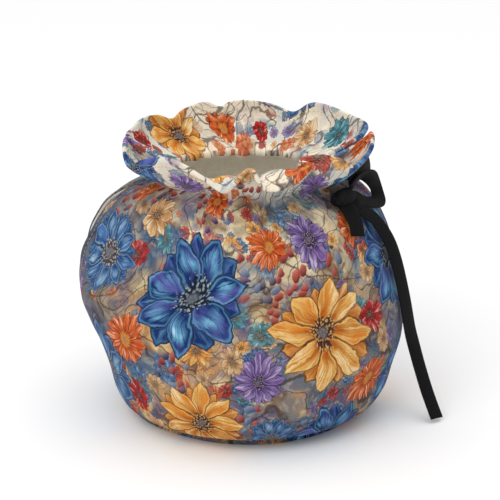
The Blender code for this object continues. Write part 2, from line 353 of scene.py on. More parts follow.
# %% The knot
KNOT_PLACE = np.array((57.8, -47.8, 154.2))  # mm from the pot's axis
KNOT_HALF = np.array((10.2, 4.3, 5.3))  # mm, along the neck, out from it, and up
KNOT_SQUARENESS = 0.72  # below 1, the rounded form fills out towards a box
KNOT_END = 0.95  # how far out the middle of each end lies
KNOT_BANDS, BAND_DEPTH = 3, 0.13
BAND_SLANT, BAND_START = 0.35, 0.4  # radians
LUMPS = 0.05  # how far the surface swells unevenly, as a share of its size


def make_knot(name, rings=36, sides=64):
    """A closed, rounded lump with slanting folds, its long way along the neck."""
    tip = np.linspace(0.0, math.pi, rings + 1)[1:-1, None]
    side = np.linspace(0.0, 2 * math.pi, sides, endpoint=False)[None]
    band = np.abs(np.sin(KNOT_BANDS * (tip + BAND_SLANT * np.sin(side)) + BAND_START))
    swell = 1 - BAND_DEPTH + BAND_DEPTH * np.sqrt(band) + LUMPS * np.sin(2 * side + 3 * tip)
    ball = (np.cos(tip) + 0 * side, np.sin(tip) * np.cos(side), np.sin(tip) * np.sin(side))
    ball = np.stack(ball, axis=-1)
    body = np.sign(ball) * np.abs(ball) ** KNOT_SQUARENESS * swell[..., None] * KNOT_HALF
    end = (KNOT_HALF[0] * KNOT_END, 0.0, 0.0)
    points = np.concatenate([body.reshape(-1, 3), [end], np.negative([end])]) * MM

    outward = unit(np.array((KNOT_PLACE[0], KNOT_PLACE[1], 0.0)))
    along = (-outward[1], outward[0], 0.0)
    points = points @ np.stack([along, outward, (0.0, 0.0, 1.0)]) + KNOT_PLACE * MM + (AXIS_X, 0.0, 0.0)

    number = np.arange((rings - 1) * sides).reshape(rings - 1, sides)
    following = np.roll(number, -1, axis=1)
    walls = np.stack([number[:-1], number[1:], following[1:], following[:-1]], axis=-1)
    faces = walls.reshape(-1, 4).tolist()
    for middle, row, order in ((number.size, 0, 1), (number.size + 1, -1, -1)):
        pairs = zip(number[row].tolist(), following[row].tolist())
        faces += [(middle, *pair[::order]) for pair in pairs]
    uv = np.stack([points[:, 0] + points[:, 1], points[:, 2]], axis=1)
    return smooth_piece(name, points, faces, uv[np.concatenate(faces)])


knot = make_knot("ribbon_knot_wraps")
print("knot is", 2 * KNOT_HALF[0], "mm along the neck")

# %% [markdown]
# ## How the cloth hangs
#
# The body of the cover follows the pot: narrow at the hem, widest at the belly, drawn in at the neck,
# and pushed out on one side by the spout. One table gives its outline from the hem up, and a cosine
# turns it round the pot. Above the neck, a second table lists the collar's folds, one row for each
# turn of the rim. Cloth simulation could find folds of its own, but not these ones in these places.

# %% Tables of the cloth
CLOTH_THICKNESS = 2.0 * MM
GATHER_RADIUS, GATHER_HEIGHT = 60.0, 157.0  # mm, of the neck where the ribbon draws it in
GATHER_FOLDS, GATHER_DEPTH = 26, 2.8  # round the whole neck, and in mm
GATHER_FADE = 40.0  # mm down the body over which the gathers die away
GATHER_SHAKES = ((3, 1.1), (7, 0.5))  # waves round the pot, and how far in radians each moves the folds
BODY_FADE, COLLAR_FADE = 1.7, 1.5  # powers: the higher, the sooner the gathers die away
SPOUT_SPREAD = math.radians(60.0)  # to each side of the spout, the reach of its bulge
BELOW_HEM = 4.0  # mm; the outline goes on this far, so that it leaves the floor upright

# height, radius and spout bulge, in mm
BODY_LEVELS = (
    (0.0, 71.0, 6.6), (4.0, 71.0, 6.6), (9.0, 83.0, 1.0), (20.0, 91.0, -1.9), (35.0, 95.2, -2.6),
    (52.0, 99.9, -1.7), (65.0, 100.5, 4.0), (80.0, 99.5, 10.0), (100.0, 96.5, 13.6), (115.0, 92.8, 17.0),
    (128.0, 88.0, 14.5), (138.0, 83.0, 11.0), (146.0, 76.5, 6.5), (152.0, 69.0, 2.0), (157.0, 60.0, 0.0),
)
Mouth = namedtuple("Mouth", "middle half_height half_width")  # mm
HANDLE_SLOT = Mouth(110.0, 38.0, 9.0)
SPOUT_MOUTH = Mouth(118.0, 32.0, 20.0)
Span = namedtuple("Span", "start mouths")  # the azimuth where a panel starts, and its mouths in turn
SPANS = {
    "front": Span(math.pi, (SPOUT_MOUTH, HANDLE_SLOT)),
    "back": Span(0.0, (HANDLE_SLOT, SPOUT_MOUTH)),
}

# azimuth in degrees, radius and height in mm, and how far the cloth below the rim bows up
BACK_FOLDS = (
    (-13.7, 52, 172, 4), (3.5, 73, 182, -3), (15, 80, 185, -6), (33, 82.5, 185.6, -8), (53, 82, 189.6, -8),
    (60, 80, 188.4, -7), (66.5, 75.5, 183, -4), (77.7, 80, 186.4, -7), (91.5, 81, 188.7, -7),
    (100.3, 80, 187.7, -7), (105, 76.5, 185.6, -5), (112, 80.5, 188.8, -7), (124, 80.5, 185.2, -7),
    (133.5, 75.5, 181.4, -4), (140, 79.5, 184.6, -6), (150, 81.5, 184.8, -7), (161, 81, 181.8, -5),
    (172, 80, 178.5, -3), (184, 62, 173, 2),
)
FRONT_FOLDS = (
    (194, 54, 170.5, 4), (186, 66, 176.5, 0), (178.5, 78, 181, -5), (190, 81, 178, -6),
    (205, 83, 170.8, -4), (220, 84, 179, -8), (231, 84, 183.2, -9), (240, 84, 182.2, -8),
    (250.4, 84, 173.8, 4), (259.3, 81, 164.6, 20), (265, 78, 170, 14), (271, 74, 178, 2),
    (275.6, 84, 168, 18), (284, 88, 168.4, 24), (291.5, 87.5, 174.5, 18), (297, 84, 181.6, 4),
    (296, 73, 182.6, 0), (303, 78.5, 185, -6), (312, 83.5, 181.6, -8), (320, 84, 174.8, -5),
    (334, 81, 177, -6), (350, 80, 180, -7), (361.5, 78.5, 184, -6), (358, 68, 178, -1),
)
print(len(BACK_FOLDS) + len(FRONT_FOLDS), "folds round the collar")

# %% [markdown]
# ## The body's outer face
#
# These functions turn the tables into a grid of points for each panel: columns run round the pot and
# rows run from the hem to the neck. Rows and columns stand closer together at the edges, where the
# hem rounds over. The gathers are a wave round the neck that dies away down the body, and its phase
# is shaken a little, so that no two puckers are alike.

# %% The outer face of the body
PANEL_WIDTH = 325.0 * MM
PANEL_COLUMNS, BODY_ROWS = 210, 96
EDGE_STEPS = np.array((0.0, 0.3, 0.7, 1.2, 1.8)) * MM
SEAM_SHARE = 0.0011  # of the half turn, left open at each side of a panel
NECK_SHARE = 0.006  # and how much more where the neck is drawn in


def spaced(count, length):
    """Shares from 0 to 1 that crowd together within the last millimetres of both ends."""
    steps = EDGE_STEPS / length
    return np.concatenate([steps[:-1], np.linspace(steps[-1], 1 - steps[-1], count), 1 - steps[-2::-1]])


def turned(azimuth, radius, height):
    """Points in metres from cylinder coordinates about the pot's axis."""
    x, y = AXIS_X + radius * MM * np.cos(azimuth), radius * MM * np.sin(azimuth)
    return np.stack(np.broadcast_arrays(x, y, height * MM), axis=-1)


def gather(azimuth, strength):
    """How far in mm the gathering folds draw the cloth in."""
    phase = GATHER_FOLDS * azimuth
    for waves, shift in GATHER_SHAKES:
        phase = phase + shift * np.sin(waves * azimuth)
    return GATHER_DEPTH * strength * (0.5 - 0.5 * np.cos(phase))


def eased(shares, strength):
    """The shares of a panel's width, drawn together from both sides where the neck is tied."""
    return 0.5 + (shares - 0.5) * (1 - 2 * NECK_SHARE * strength)


def body_face(panel, shares):
    """The outer face from the hem to the neck, with half a mouth cut into each side."""
    line = through((-BELOW_HEM, *BODY_LEVELS[0][1:]), BODY_LEVELS, BODY_LEVELS[-1])
    rows = spaced(BODY_ROWS, travelled(line[:, :2])[-1] * MM)[: -len(EDGE_STEPS)]
    height, radius, bulge = even(line, line[:, :2], rows).T[..., None]
    setbacks = []
    for mouth in SPANS[panel].mouths:
        away = np.clip((height - mouth.middle) / mouth.half_height, -1.0, 1.0)
        setbacks.append(mouth.half_width * np.cos(math.pi / 2 * away) / radius)
    rise = np.maximum(0.0, 1 - (GATHER_HEIGHT - height) / GATHER_FADE)
    turn = (math.pi - setbacks[1] - setbacks[0]) * eased(shares[None], rise**2)
    azimuth = SPANS[panel].start + setbacks[0] + turn
    from_spout = np.clip(np.abs(azimuth - math.pi) / SPOUT_SPREAD, 0.0, 1.0)
    bulge = bulge * np.cos(math.pi / 2 * from_spout) ** 2
    return turned(azimuth, radius + bulge - gather(azimuth, rise**BODY_FADE), height + 0 * azimuth)


panel_shares = SEAM_SHARE + spaced(PANEL_COLUMNS, PANEL_WIDTH) * (1 - 2 * SEAM_SHARE)
body = {panel: body_face(panel, panel_shares) for panel in SPANS}
print(f"the body of a panel has {body['front'].shape[0]} rows of {body['front'].shape[1]} points")

# %% [markdown]
# ## The collar's outer face
#
# Above the neck the cloth opens out. Its rim follows the table of folds, and each column of points
# runs up from the neck to the rim as a bent line, a Bezier curve of one bend. How far it bows up
# comes from the table too, so that a fold can roll over or stand straight.

# %% The outer face of the collar
COLLAR_ROWS = 52
COLLAR_LENGTH = 36.0 * MM  # about, from the neck to the rim


def rim_line(panel, shares):
    """The collar's rim: its azimuth, radius, height and bow at these shares of its length."""
    turn = (360, 0, 0, 0)
    if panel == "back":
        line = through(np.subtract(FRONT_FOLDS[-1], turn), [*BACK_FOLDS, FRONT_FOLDS[0]], FRONT_FOLDS[1])
    else:
        ahead = np.add(BACK_FOLDS[:2], turn)
        line = through(BACK_FOLDS[-1], [*FRONT_FOLDS, ahead[0]], ahead[1])
    return even(line, turned(np.radians(line[:, 0]), line[:, 1], line[:, 2]), shares)


def collar_face(panel, shares):
    """The outer face from the neck to the rim."""
    rim = rim_line(panel, shares)
    top = turned(np.radians(rim[:, 0]), rim[:, 1], rim[:, 2])[None]
    ends = EDGE_STEPS / COLLAR_LENGTH
    t = np.concatenate([np.linspace(0.0, 1 - ends[-1], COLLAR_ROWS), 1 - ends[-2::-1]])[:, None]
    azimuth = math.pi * eased(shares[None], (1 - t) ** 2) + SPANS[panel].start
    radius = GATHER_RADIUS - gather(azimuth, (1 - t) ** COLLAR_FADE)
    foot = turned(azimuth, radius, GATHER_HEIGHT + 0 * azimuth)
    chord = unit(top - foot)
    upwards = unit(np.array([0.0, 0.0, 1.0]) - chord * chord[..., 2:])
    bend = (foot + top) / 2 + upwards * (rim[:, 3] * MM)[None, :, None]
    t = t[..., None]
    return foot * (1 - t) ** 2 + bend * 2 * t * (1 - t) + top * t**2


collar = {panel: collar_face(panel, panel_shares) for panel in SPANS}
print("the collar's rim rises to", round(max(face[..., 2].max() for face in collar.values()), 4), "m")

# %% [markdown]
# ## Creases
#
# Cloth that is pulled by a ribbon, a spout or a handle creases in a few clear places. Each row of the
# next table is one soft trough or ridge: where its middle lies on the flat cloth, how long and wide it
# is, which way it runs and how deep. A sculpting brush would do the same by hand; a table can be read
# and changed later.

# %% Creases
# place across and up in mm, length, width, slant in degrees from upright, depth in mm
Crease = namedtuple("Crease", "across up length width slant depth")
CREASES = {
    "front": (
        (60, 172, 46, 9, 14, -1.3), (84, 168, 40, 8, 6, 1.0), (118, 176, 40, 8, -8, -1.4),
        (142, 170, 52, 9, 4, -1.2), (160, 178, 34, 7, 0, 1.1), (186, 172, 54, 9, -6, -1.7),
        (204, 176, 46, 8, -10, 1.5), (221, 170, 56, 9, -12, -1.6), (246, 176, 40, 9, -16, -1.2),
        (276, 168, 44, 9, -20, -1.4), (40, 120, 50, 12, 60, -1.0), (46, 98, 56, 13, 74, 0.9),
        (288, 122, 46, 11, -58, -1.0), (282, 96, 50, 13, -72, 0.8),
    ),
    "back": (
        (40, 168, 44, 9, 18, -1.3), (74, 174, 40, 8, 8, 1.1), (104, 168, 52, 9, 4, -1.5),
        (138, 176, 38, 8, -4, 1.1), (170, 170, 54, 9, -2, -1.5), (206, 174, 44, 8, -6, 1.2),
        (238, 170, 48, 9, -12, -1.4), (272, 172, 42, 9, -18, -1.2), (38, 112, 52, 12, 62, -1.0),
        (286, 116, 52, 12, -62, -1.0),
    ),
}


def crease_depth(panel, across, up):
    """The height in metres that the creases add at each point of the flat cloth."""
    depth = np.zeros_like(up)
    for crease in (Crease(*row) for row in CREASES[panel]):
        slant = math.radians(crease.slant)
        x, y = across / MM - crease.across, up / MM - crease.up
        run = x * math.sin(slant) + y * math.cos(slant)
        side = x * math.cos(slant) - y * math.sin(slant)
        shape = np.exp(-((2 * run / crease.length) ** 2) - (2 * side / crease.width) ** 2)
        depth += crease.depth * MM * shape
    return depth


print("creases:", {panel: len(rows) for panel, rows in CREASES.items()})

# %% [markdown]
# ## The panels
#
# With the outer face, the creases and the hem's thickness known, the shell function makes each panel.
# The hem is the same cloth turned over, so the sheet is thicker in a band along its edges and dips
# where the thread pulls it in. The UV map is the flat cloth in metres, so that everything printed on
# it later has its real size, and inside the collar the print runs on over the rim.

# %% Front and back panels
HEM_THICKNESS = 2.7 * MM
HEM_INNER, HEM_OUTER = 7.2 * MM, 8.6 * MM  # from the edge, where the double cloth starts to thin and ends
STITCH_LINE = 6.2 * MM  # from the edge to the row of stitches
DIMPLE_DEPTH, DIMPLE_WIDTH = 0.4 * MM, 1.1 * MM
Made = namedtuple("Made", "name piece outer inner centres height")


def make_panel(panel):
    """A panel with its creases and hems, and what the print and the stitches need to know of it."""
    outer = np.concatenate([body[panel], collar[panel]])
    up = travelled(outer).mean(axis=1, keepdims=True) + 0 * outer[..., 0]
    across = panel_shares[None] * PANEL_WIDTH + 0 * up
    outer = outer + facing(outer) * crease_depth(panel, across, up)[..., None]
    from_edge = edge_distance(outer)
    hem = (HEM_THICKNESS - CLOTH_THICKNESS) * (1 - smooth_step(from_edge, HEM_INNER, HEM_OUTER))
    dimple = DIMPLE_DEPTH * np.exp(-(((from_edge - STITCH_LINE) / DIMPLE_WIDTH) ** 2))
    outer = outer + facing(outer) * ((hem - dimple) / 2)[..., None]
    thickness = CLOTH_THICKNESS + hem - dimple
    height = up.max()
    outer_uv = np.stack([across, up], axis=-1)
    inner_uv = np.stack([across, 2 * height - up], axis=-1)
    piece, centres, front_faces = shell(panel + "_cloth", outer, thickness, outer_uv, inner_uv)
    body_faces = len(body[panel]) * (len(panel_shares) - 1)
    lining = np.zeros(len(piece.data.polygons), np.int32)
    lining[front_faces : front_faces + body_faces] = 1
    piece.data.polygons.foreach_set("material_index", lining)
    inner = outer - facing(outer) * thickness[..., None]
    return Made(panel, piece, outer, inner, centres, height)


panels = {panel: make_panel(panel) for panel in SPANS}
for name, made in panels.items():
    area = sum(face.area for face in made.piece.data.polygons) / 2
    print(f"{name} panel: {made.height:.3f} m from hem to rim, one side {area:.4f} square metres")

# %% [markdown]
# ## Stitches
#
# The hems are held by a row of lockstitches: short, slightly sunken dashes of thread, about 3 mm from
# one to the next. There are hundreds, all alike, so a Geometry Nodes tree places them. It steps along a
# line, sets a small bead of thread at each step, stretches it along the line and shakes it a little,
# with a fixed seed. The result is turned into a plain mesh, because instances don't survive an export.

# %% A tree that sews a row of stitches
STITCH_SPACING, STITCH_LENGTH, THREAD_RADIUS = 3.0 * MM, 2.2 * MM, 0.22 * MM
SHAKE, SHAKE_SEED = 0.06, 7  # radians, and the number that fixes the chance


def stitch_tree():
    """The tree that sews a row of stitches, and the identifier of each of its inputs."""
    tree = bpy.data.node_groups.new("row of stitches", "GeometryNodeTree")
    kinds = {
        "Line": "Geometry", "Spacing": "Float", "Length": "Float", "Radius": "Float", "Thread": "Material",
    }
    sockets = {}
    for name, kind in kinds.items():
        socket = tree.interface.new_socket(name, in_out="INPUT", socket_type="NodeSocket" + kind)
        sockets[name] = socket.identifier
    tree.interface.new_socket("Stitches", in_out="OUTPUT", socket_type="NodeSocketGeometry")
    given = tree.nodes.new("NodeGroupInput").outputs
    line = add(tree, "GeometryNodeMeshToCurve", given["Line"])
    steps = add(tree, "GeometryNodeResampleCurve", line, mode="LENGTH")
    tree.links.new(given["Spacing"], steps.node.inputs["Length"])
    bead = add(tree, "GeometryNodeMeshUVSphere", 6, 4, 1.0)
    placed = add(tree, "GeometryNodeInstanceOnPoints", steps)
    tree.links.new(bead, placed.node.inputs["Instance"])
    along = add(tree, "GeometryNodeInputTangent")
    turn = add(tree, "FunctionNodeAlignRotationToVector", None, 1.0, along, axis="X")
    tree.links.new(turn, placed.node.inputs["Rotation"])
    half = add(tree, MATH, given["Length"], 0.5, operation="MULTIPLY")
    tree.links.new(add(tree, JOIN, half, given["Radius"], given["Radius"]), placed.node.inputs["Scale"])
    least, most = (-SHAKE, -SHAKE, -SHAKE), (SHAKE, SHAKE, SHAKE)
    shake = add(tree, "FunctionNodeRandomValue", least, most, data_type="FLOAT_VECTOR")
    shake.node.inputs["Seed"].default_value = SHAKE_SEED
    shaken = add(tree, "GeometryNodeRotateInstances", placed)
    tree.links.new(shake, shaken.node.inputs["Rotation"])
    whole = add(tree, "GeometryNodeRealizeInstances", shaken)
    sewn = add(tree, "GeometryNodeSetMaterial", whole, None, given["Thread"])
    tree.links.new(sewn, tree.nodes.new("NodeGroupOutput").inputs[0])
    return tree, sockets


stitching, stitch_sockets = stitch_tree()
print("stitch tree has", len(stitching.nodes), "nodes")

# %% [markdown]
# ## Where the stitches run
#
# Each panel has one row along the foot, one along the rim, and one beside each mouth. They lie a fixed
# way in from the edge, so each is found by walking in from the edge along the grid of the cloth. The
# rim can be seen from both sides, so its row is sewn on both faces.

# %% Rows of stitches
def inset_line(grid, distance):
    """The points that lie this far in from a grid's first row."""
    walked = travelled(grid)
    return np.array([
        [np.interp(distance, walked[:, column], values) for values in grid[:, column].T]
        for column in range(grid.shape[1])
    ])


def stitch_lines(made):
    """The rows of stitches of one panel, as lists of points."""
    face, reverse = made.outer, made.inner
    crowded = len(EDGE_STEPS) - 1  # the columns at each side seam that lie past the stitches
    lines = [inset_line(grid, STITCH_LINE)[crowded:-crowded] for grid in (face, face[::-1], reverse[::-1])]
    height = face[:, 0, 2] / MM
    for mouth, grid in zip(SPANS[made.name].mouths, (face, face[:, ::-1])):
        beside = np.abs(height - mouth.middle) < mouth.half_height
        lines.append(inset_line(grid.transpose(1, 0, 2), STITCH_LINE)[beside])
    return lines


def sew(name, lines, thread):
    """Turns lines into one plain mesh of stitches."""
    points = np.concatenate(lines)
    starts = np.cumsum([0] + [len(line) for line in lines])
    edges = [(i, i + 1) for first, last in zip(starts, starts[1:]) for i in range(first, last - 1)]
    mesh = bpy.data.meshes.new(name)
    mesh.from_pydata(points.tolist(), edges, [])
    row = put(name + "_row", mesh)
    modifier = row.modifiers.new("sew", "NODES")
    modifier.node_group = stitching
    sizes = {"Spacing": STITCH_SPACING, "Length": STITCH_LENGTH, "Radius": THREAD_RADIUS, "Thread": thread}
    for socket, value in sizes.items():
        modifier[stitch_sockets[socket]] = value
    evaluated = row.evaluated_get(bpy.context.evaluated_depsgraph_get())
    sewn = put(name, bpy.data.meshes.new_from_object(evaluated))
    row.modifiers.clear()
    bpy.data.objects.remove(row)
    print(name, "has", len(sewn.data.polygons), "faces")
    return sewn


# sewing thread is twisted polyester: matt, with a faint soft shine where it curves over
thread_cloth, tree, shader = material("twisted polyester sewing thread", 0.55, Sheen_Weight=0.2)
shader.inputs["Base Color"].default_value = linear("#a8926f")
stitches = [sew(made.name + "_stitches", stitch_lines(made), thread_cloth) for made in panels.values()]

# %% [markdown]
# ## The print: kinds of flower
#
# The cloth is polyester, printed with flowers that look painted in watercolour. The print here is a
# made-up one: flowers of several sizes are strewn over a washed cream ground. A real printed cloth
# starts from a list just like this one: where each flower sits on the flat cloth, its size, its number
# of petals and its tint.

# %% Tints and flowers
TINTS = (  # deep, light, blush and heart
    ("#163a72", "#86c0da", "#7273b4", "#1a2038"),
    ("#24507f", "#a9c4d6", "#5b86b8", "#54484c"),
    ("#b0631c", "#ecc77c", "#dd8e34", "#4a2d33"),
    ("#8e3117", "#e58a48", "#cb5426", "#c98a2c"),
    ("#4b3a72", "#a792bb", "#83609c", "#3a2c52"),
    ("#78141f", "#c94038", "#a8222c", "#3f0c16"),
    ("#a6764a", "#dfc49a", "#cc9a6a", "#6b4227"),
    ("#1f5866", "#76aab0", "#3f7f92", "#1c3640"),
)
BLUE, STEEL, AMBER, RUST, LILAC, RED, PEACH, TEAL = range(8)

# place across and up in mm, radius in mm, number of petals, turn in radians, tint
Bloom = namedtuple("Bloom", "across up radius petals turn tint")
BIG_BLOOMS = {
    "front": (
        (118, 118, 47, 7, 0.2, BLUE), (214, 92, 42, 8, 0.5, AMBER), (294, 128, 42, 7, 0.1, BLUE),
        (36, 50, 42, 7, 0.9, STEEL), (128, 32, 36, 9, 0.3, AMBER), (226, 10, 38, 7, 1.2, BLUE),
        (302, 42, 38, 7, 0.6, BLUE), (36, 134, 31, 9, 0.4, STEEL), (70, 222, 26, 7, 0.5, BLUE),
        (262, 212, 28, 7, 0.8, BLUE),
    ),
    "back": (
        (62, 104, 46, 7, 0.4, BLUE), (152, 92, 41, 8, 0.1, AMBER), (246, 106, 46, 7, 0.7, STEEL),
        (104, 18, 40, 7, 0.2, STEEL), (196, 22, 36, 8, 0.5, AMBER), (284, 26, 38, 7, 0.3, BLUE),
        (22, 34, 36, 8, 0.9, AMBER), (232, 240, 29, 7, 0.6, AMBER), (118, 206, 27, 7, 0.2, STEEL),
        (40, 214, 24, 8, 0.6, STEEL),
    ),
}
MID_BLOOMS = {
    "front": (
        (170, 150, 17, 12, 0.2, RUST), (74, 82, 22, 13, 0.8, RUST), (170, 66, 19, 11, 0.3, LILAC),
        (206, 152, 20, 8, 0.4, LILAC), (252, 52, 20, 13, 0.9, RUST), (250, 158, 15, 6, 0.1, RUST),
        (84, 12, 19, 10, 0.7, PEACH), (180, 22, 19, 9, 0.5, STEEL), (4, 96, 17, 11, 0.6, LILAC),
        (256, 96, 14, 6, 0.1, RED), (76, 166, 18, 7, 0.6, PEACH), (40, 180, 13, 6, 0.2, RUST),
        (322, 84, 15, 7, 0.7, LILAC), (318, 172, 17, 9, 0.8, LILAC), (264, 12, 14, 6, 0.5, RED),
        (76, 40, 14, 6, 0.4, RED), (130, 182, 15, 6, 0.6, RUST), (108, 204, 14, 9, 0.2, LILAC),
        (30, 214, 15, 8, 0.1, LILAC), (152, 214, 12, 6, 0.6, PEACH), (196, 226, 16, 7, 0.2, RUST),
        (226, 198, 15, 8, 0.2, LILAC), (132, 236, 14, 6, 0.2, AMBER), (300, 226, 14, 7, 0.2, RUST),
        (222, 244, 12, 7, 0.6, TEAL), (20, 244, 13, 6, 0.2, AMBER),
    ),
    "back": (
        (106, 66, 19, 12, 0.1, RUST), (198, 66, 20, 13, 0.5, RUST), (108, 134, 18, 9, 0.7, LILAC),
        (198, 134, 17, 6, 0.3, RED), (150, 42, 15, 8, 0.2, LILAC), (66, 160, 15, 6, 0.5, RUST),
        (256, 164, 17, 9, 0.1, PEACH), (300, 146, 18, 9, 0.8, LILAC), (20, 150, 18, 8, 0.2, AMBER),
        (62, 52, 15, 11, 0.4, LILAC), (300, 74, 17, 6, 0.1, RED), (152, 150, 19, 7, 0.1, STEEL),
        (240, 50, 18, 9, 0.6, LILAC), (176, 184, 15, 7, 0.5, AMBER), (186, 240, 13, 6, 0.3, RUST),
        (78, 238, 14, 6, 0.3, TEAL), (150, 214, 10, 8, 0.6, LILAC), (86, 206, 9, 5, 0.1, RED),
        (152, 244, 9, 5, 0.3, RED), (274, 236, 10, 5, 0.5, RED), (298, 212, 14, 7, 0.2, AMBER),
        (198, 208, 14, 8, 0.8, LILAC), (108, 244, 12, 6, 0.4, PEACH), (262, 208, 12, 6, 0.4, RUST),
    ),
}
for size, blooms in (("big", BIG_BLOOMS), ("smaller", MID_BLOOMS)):
    print(size, "flowers:", {panel: len(rows) for panel, rows in blooms.items()})

# %% [markdown]
# ## Telling each face its flower
#
# A material can't loop over a list. But it can read an attribute, a value that the mesh stores face by
# face. So Python finds the nearest flower of each face and stores where it is and how it looks. The
# material then has to draw only one flower at a time, however many the cloth has.

# %% Flower attributes
def name_flowers(made, layer, blooms):
    """Stores, for each face, the place and the form of the flower that it may show."""
    own = [Bloom(*row) for row in blooms[made.name]]
    places = np.array([(bloom.across, bloom.up, bloom.radius) for bloom in own]) * MM
    forms = np.array([(bloom.turn, bloom.petals, (bloom.tint + 0.5) / len(TINTS)) for bloom in own])
    apart = np.linalg.norm(made.centres[:, None] - places[None, :, :2], axis=2) / places[None, :, 2]
    nearest = apart.argmin(axis=1)
    for kind, table in (("place", places), ("form", forms)):
        stored = made.piece.data.attributes.new(f"{layer}_{kind}", "FLOAT_VECTOR", "FACE")
        stored.data.foreach_set("vector", table[nearest].astype(np.float32).ravel())


for made in panels.values():
    name_flowers(made, "big", BIG_BLOOMS)
    name_flowers(made, "mid", MID_BLOOMS)
names = [attribute.name for attribute in panels["front"].piece.data.attributes]
print("flower attributes:", [name for name in names if name.startswith(("big_", "mid_"))])

# %% [markdown]
# ## The flower's petals
#
# The flower is a node group, so that flowers of every size share it. Distance from its middle and
# angle round it are turned into petals: the angle is cut into equal sectors, and each sector's petal
# ends where a rounded curve says. A second ring of petals shows between the first. What these
# functions find out about a point of the cloth is kept together, for the paint to use.

# %% Petals
PETAL_WAIST, PETAL_POINT = 0.50, 0.62  # where neighbouring petals part, and how sharp their tips are
UPPER_REACH, LOWER_REACH = 0.96, 0.84  # of the flower's radius
SHORTEST = 0.86  # the share of its length that the shortest petal keeps
TIP_LEAN = 0.6  # a petal's end slants, so its edge is nearer than it is straight outwards
FLOWER_SEED, PETAL_SEED = 90.0, 97.0  # metres times these give each flower and petal its own chance


def petal_tip(tree, side, reach):
    """How far a petal reaches at each place between its midline, 0, and its side, 1."""
    point = add(tree, MATH, 1.0, side, operation="SUBTRACT")
    point = add(tree, MATH, point, PETAL_POINT, operation="POWER")
    least, more = PETAL_WAIST * reach, (1 - PETAL_WAIST) * reach
    return add(tree, MATH, point, more, least, operation="MULTIPLY_ADD")


def flower_places(tree, given):
    """Where a point lies in its flower, in flower radii outwards and in petals round it."""
    across, up, radius = add(tree, SPLIT, given["Place"]).node.outputs
    turn, petals, tint = add(tree, SPLIT, given["Form"]).node.outputs
    flat = add(tree, VECTOR, given["Cloth"], given["Place"], operation="SUBTRACT")
    flat = add(tree, VECTOR, flat, (1.0, 1.0, 0.0), operation="MULTIPLY")
    flat = add(tree, VECTOR, flat, add(tree, MATH, 1.0, radius, operation="DIVIDE"), operation="SCALE")
    out = add(tree, VECTOR, flat, operation="LENGTH")
    x, y, _ = add(tree, SPLIT, flat).node.outputs
    angle = add(tree, MATH, add(tree, MATH, y, x, operation="ARCTAN2"), turn, operation="ADD")
    round_share = add(tree, MATH, petals, 2 * math.pi, operation="DIVIDE")
    sector = add(tree, MATH, angle, round_share, operation="MULTIPLY")
    signed = add(tree, MATH, sector, operation="FRACT")
    signed = add(tree, MATH, signed, 2.0, -1.0, operation="MULTIPLY_ADD")  # -1 to 1 over a petal
    seed = add(tree, MATH, across, up, operation="ADD")
    seed = add(tree, MATH, seed, FLOWER_SEED, operation="MULTIPLY")

    # chance makes each petal a little longer or shorter than the next
    number = add(tree, MATH, sector, operation="FLOOR")
    own = add(tree, JOIN, number, add(tree, MATH, across, PETAL_SEED, operation="MULTIPLY"), up)
    own = add(tree, "ShaderNodeTexWhiteNoise", own, noise_dimensions="3D")
    return SimpleNamespace(
        petals=petals, tint=tint, flat=flat, out=out, angle=angle, sector=sector, signed=signed, seed=seed,
        length=add(tree, RANGE, own, 0.0, 1.0, SHORTEST, 1.0),
    )


def find_petals(tree, at):
    """Adds which of the two rings shows at a point, where it ends, and how near the petal's edge is."""
    side = add(tree, MATH, at.signed, operation="ABSOLUTE")
    other_side = add(tree, MATH, 1.0, side, operation="SUBTRACT")
    upper_tip = add(tree, MATH, petal_tip(tree, side, UPPER_REACH), at.length, operation="MULTIPLY")
    lower_tip = petal_tip(tree, other_side, LOWER_REACH)
    at.upper = add(tree, MATH, at.out, upper_tip, operation="LESS_THAN")
    tip = add(tree, MIX, at.upper, lower_tip, upper_tip)
    at.cover = add(tree, MATH, at.out, tip, operation="LESS_THAN")
    at.along = add(tree, MATH, at.out, tip, operation="DIVIDE")

    tip_gap = add(tree, MATH, tip, at.out, operation="SUBTRACT")
    tip_gap = add(tree, MATH, tip_gap, TIP_LEAN, operation="MULTIPLY")
    side_gap = add(tree, MIX, at.upper, side, other_side)  # 1 on a petal's midline
    side_gap = add(tree, MATH, side_gap, at.out, operation="MULTIPLY")
    side_gap = add(tree, MATH, side_gap, math.pi, operation="MULTIPLY")
    side_gap = add(tree, MATH, side_gap, at.petals, operation="DIVIDE")
    at.lower_gap = add(tree, MATH, at.out, upper_tip, operation="SUBTRACT")
    gap = add(tree, MIX, at.upper, at.lower_gap, side_gap)
    at.gap = add(tree, MATH, gap, tip_gap, operation="MINIMUM")


print("the lower petals reach", round(LOWER_REACH / UPPER_REACH, 2), "of the length of the upper ones")

# %% [markdown]
# ## The flower's paint
#
# What makes a petal look painted is that its colour is never even. It is deep at the foot and the
# sides, streaks and veins run out along it, and pools of paint dry across it. Each of these adds to
# one number, the shade, which then picks a colour between the tint's lightest and deepest. A blush, a
# pale rim and a thin ink line go on after that.

# %% Paint on the petals
INK_WIDTH = 0.026  # of the flower's radius
EDGE_BAND = 0.17  # how far in the petal's sides are deep, in flower radii
STREAKS, VEINS, POOLS = 5.0, 26.0, 2.4  # over each petal, and over the flower's radius
STREAK_DEPTH, POOL_DEPTH, LEAN_DEPTH, VEIN_DEPTH = 1.3, 1.2, 0.16, 0.42  # what each adds to the shade
COOL_TINTS = 2 / len(TINTS)  # tints below this are the blues, whose petals have the deepest sides
SOFT = {"interpolation_type": "SMOOTHSTEP"}
WHITE_PAINT, INK = linear("#eef0ea"), linear("#1a141c")


